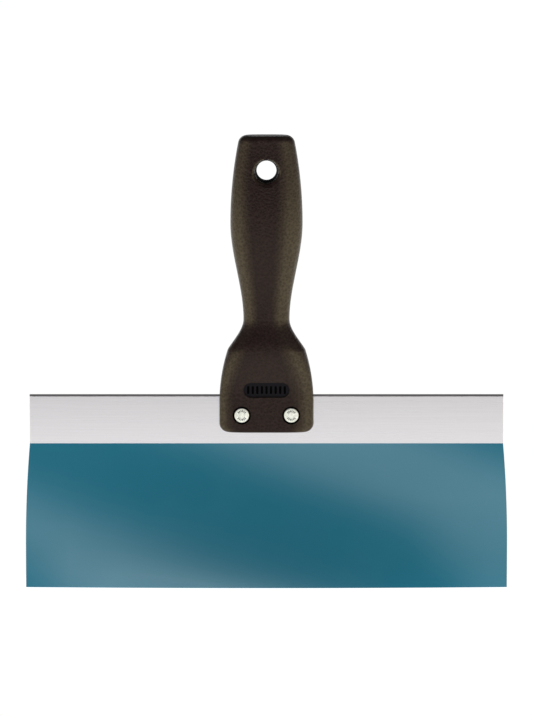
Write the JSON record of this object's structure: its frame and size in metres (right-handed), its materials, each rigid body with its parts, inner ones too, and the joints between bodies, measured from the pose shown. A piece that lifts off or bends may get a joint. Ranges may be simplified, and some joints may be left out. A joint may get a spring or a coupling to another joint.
{
  "type": "drywall taping knife",
  "caption": "Wide taping knife: flexible blued-steel blade clamped in a folded metal backing, with a moulded grip riveted over its middle and a hang hole in the grip's end.",
  "frame": {"origin": "middle of the blade's working edge, in the mid-plane of the knife", "axes": "+Z from the working edge up the grip, +X along the blade, -Y out of the front face, which carries the solid rivet heads and the recess with a row of grooves"},
  "size_m": [0.254, 0.023, 0.2393],
  "materials": {
    "blade_steel": "satin, tempered to a blue oxide",
    "backing_metal": "fine lengthwise brushing",
    "grip_plastic": "fine leather grain",
    "rivet_metal": "bright nickel plating"
  },
  "bodies": {
    "root": {"blade": "blade_steel", "backing": "backing_metal", "handle": "grip_plastic", "rivet_left": "rivet_metal", "rivet_right": "rivet_metal", "rivet_cap_left": "rivet_metal", "rivet_cap_right": "rivet_metal"}
  },
  "joints": []
}
